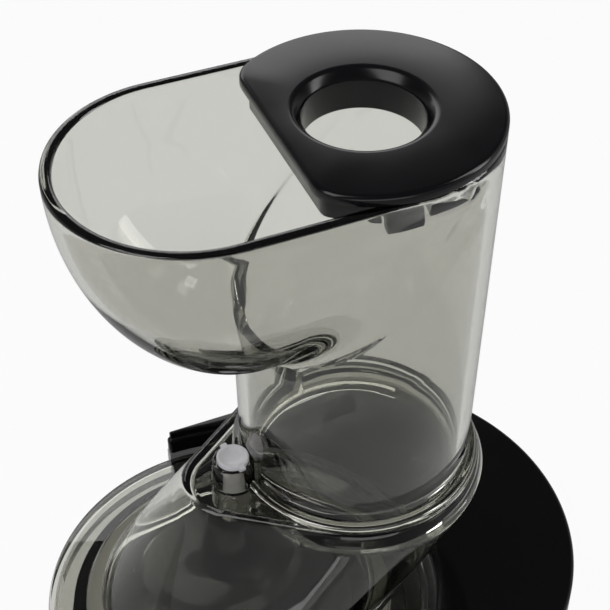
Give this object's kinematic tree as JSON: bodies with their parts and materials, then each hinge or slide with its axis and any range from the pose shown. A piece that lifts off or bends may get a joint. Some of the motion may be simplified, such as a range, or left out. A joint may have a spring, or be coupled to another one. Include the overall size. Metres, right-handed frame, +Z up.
{
  "type": "slow juicer",
  "caption": "Vertical slow juicer with a wide smoked hopper tray, holed hopper lid, drum beside a motor column, geared auger drive and hinged spouts.",
  "frame": {"origin": "on the table under the centre of the bounding box", "axes": "+Z up; +X from the drum towards the motor column; +Y towards the housing's flat back"},
  "size_m": [0.221, 0.178, 0.4381],
  "materials": {
    "smoked_clear": "polished smoked clear copolyester",
    "black_gloss": "polished",
    "black_satin": "fine satin",
    "black_fill": "gloss",
    "white_pom": "smooth",
    "grey_pom": "smooth",
    "steel": "turned",
    "magnet": "sintered",
    "bronze": "turned",
    "silicone": "soft",
    "rubber": "matte",
    "board": "solder mask"
  },
  "bodies": {
    "base": {"base_housing": "black_gloss", "bottom_plate": "black_satin", "base_screws": "steel", "top_cover": "black_gloss", "rear_rail": "black_gloss", "gearbox_housing": "grey_pom", "gearbox_cover": "grey_pom", "gearbox_screws": "steel", "gear_pin_1": "steel", "gear_pin_2": "steel", "shaft_seal": "rubber", "output_bearing_lower": "bronze", "output_bearing_upper": "bronze", "motor_can": "steel", "motor_magnets": "magnet", "motor_end_cap": "black_satin", "motor_bearing_lower": "bronze", "motor_bearing_upper": "bronze", "switch_body": "black_satin", "control_board": "board", "cord_inlet": "rubber", "foot_1": "rubber", "foot_2": "rubber", "foot_3": "rubber", "foot_4": "rubber"},
    "motor_drive": {"motor_rotor": "magnet", "motor_shaft": "steel", "motor_pinion": "bronze", "motor_fan": "black_satin"},
    "first_gear": {"compound_gear_1": "white_pom"},
    "second_gear": {"compound_gear_2": "white_pom"},
    "output_drive": {"output_gear": "steel", "drive_shaft": "steel"},
    "knob": {"control_knob": "black_satin", "knob_shaft": "grey_pom"},
    "drum": {"drum": "smoked_clear", "drum_gasket": "silicone", "juice_cap_pin": "steel", "pulp_gate_pin": "steel", "strainer": "black_fill", "strainer_mesh": "steel"},
    "idler": {"idler_gear": "white_pom"},
    "brush": {"brush_holder": "black_satin", "wiper_1": "silicone", "wiper_2": "silicone", "wiper_3": "silicone"},
    "auger": {"auger": "black_fill", "auger_socket": "steel"},
    "juice_cap": {"juice_cap": "silicone"},
    "pulp_gate": {"pulp_gate": "black_satin"},
    "drum_lid": {"drum_lid": "smoked_clear", "auger_top_bush": "white_pom", "lid_seal": "silicone"},
    "hopper": {"hopper": "smoked_clear"},
    "hopper_lid": {"hopper_lid": "black_gloss"}
  },
  "joints": [
    {"name": "motor_spin", "type": "hinge", "parent": "base", "child": "motor_drive", "pos_m": [0.0755, 0.004, 0.12], "axis": [0, 0, 1], "continuous": true},
    {"name": "first_gear_spin", "type": "hinge", "parent": "base", "child": "first_gear", "pos_m": [0.0455, 0.004, 0.05], "axis": [0, 0, 1], "continuous": true},
    {"name": "second_gear_spin", "type": "hinge", "parent": "base", "child": "second_gear", "pos_m": [0.0095, 0.004, 0.05], "axis": [0, 0, 1], "continuous": true},
    {"name": "output_spin", "type": "hinge", "parent": "base", "child": "output_drive", "pos_m": [-0.0325, 0.004, 0.06], "axis": [0, 0, 1], "continuous": true},
    {"name": "control_turn", "type": "hinge", "parent": "base", "child": "knob", "pos_m": [0.08347, -0.06197, 0.054], "axis": [0.7071, -0.7071, 0], "range_deg": [-40, 40]},
    {"name": "drum_lift", "type": "slide", "parent": "base", "child": "drum", "axis": [0, 0, 1], "range_m": [0, 0.11]},
    {"name": "auger_spin", "type": "hinge", "parent": "drum", "child": "auger", "pos_m": [-0.0325, 0.004, 0.16], "axis": [0, 0, 1], "continuous": true},
    {"name": "idler_spin", "type": "hinge", "parent": "drum", "child": "idler", "pos_m": [-0.00439, -0.02411, 0.125], "axis": [0, 0, 1], "continuous": true},
    {"name": "brush_spin", "type": "hinge", "parent": "drum", "child": "brush", "pos_m": [-0.0325, 0.004, 0.16], "axis": [0, 0, 1], "continuous": true},
    {"name": "juice_cap_hinge", "type": "hinge", "parent": "drum", "child": "juice_cap", "pos_m": [-0.09685, -0.06035, 0.1435], "axis": [-0.7071, 0.7071, 0], "range_deg": [0, 90]},
    {"name": "pulp_gate_hinge", "type": "hinge", "parent": "drum", "child": "pulp_gate", "pos_m": [-0.09331, 0.06481, 0.1203], "axis": [0.7071, 0.7071, 0], "range_deg": [0, 60], "stiffness_Nm_per_rad": 0.004},
    {"name": "drum_lid_lift", "type": "slide", "parent": "drum", "child": "drum_lid", "axis": [0, 0, 1], "range_m": [0, 0.1]},
    {"name": "hopper_lift", "type": "slide", "parent": "drum_lid", "child": "hopper", "axis": [0, 0, 1], "range_m": [0, 0.05]},
    {"name": "hopper_lid_lift", "type": "slide", "parent": "hopper", "child": "hopper_lid", "axis": [0, 0, 1], "range_m": [0, 0.03]}
  ],
  "couplings": [
    {"joint": "first_gear_spin", "follows": "motor_spin", "ratio": -0.25},
    {"joint": "second_gear_spin", "follows": "motor_spin", "ratio": 0.0625},
    {"joint": "output_spin", "follows": "motor_spin", "ratio": -0.015625},
    {"joint": "auger_spin", "follows": "motor_spin", "ratio": -0.015625},
    {"joint": "idler_spin", "follows": "motor_spin", "ratio": 0.012931},
    {"joint": "brush_spin", "follows": "motor_spin", "ratio": 0.0045732}
  ]
}
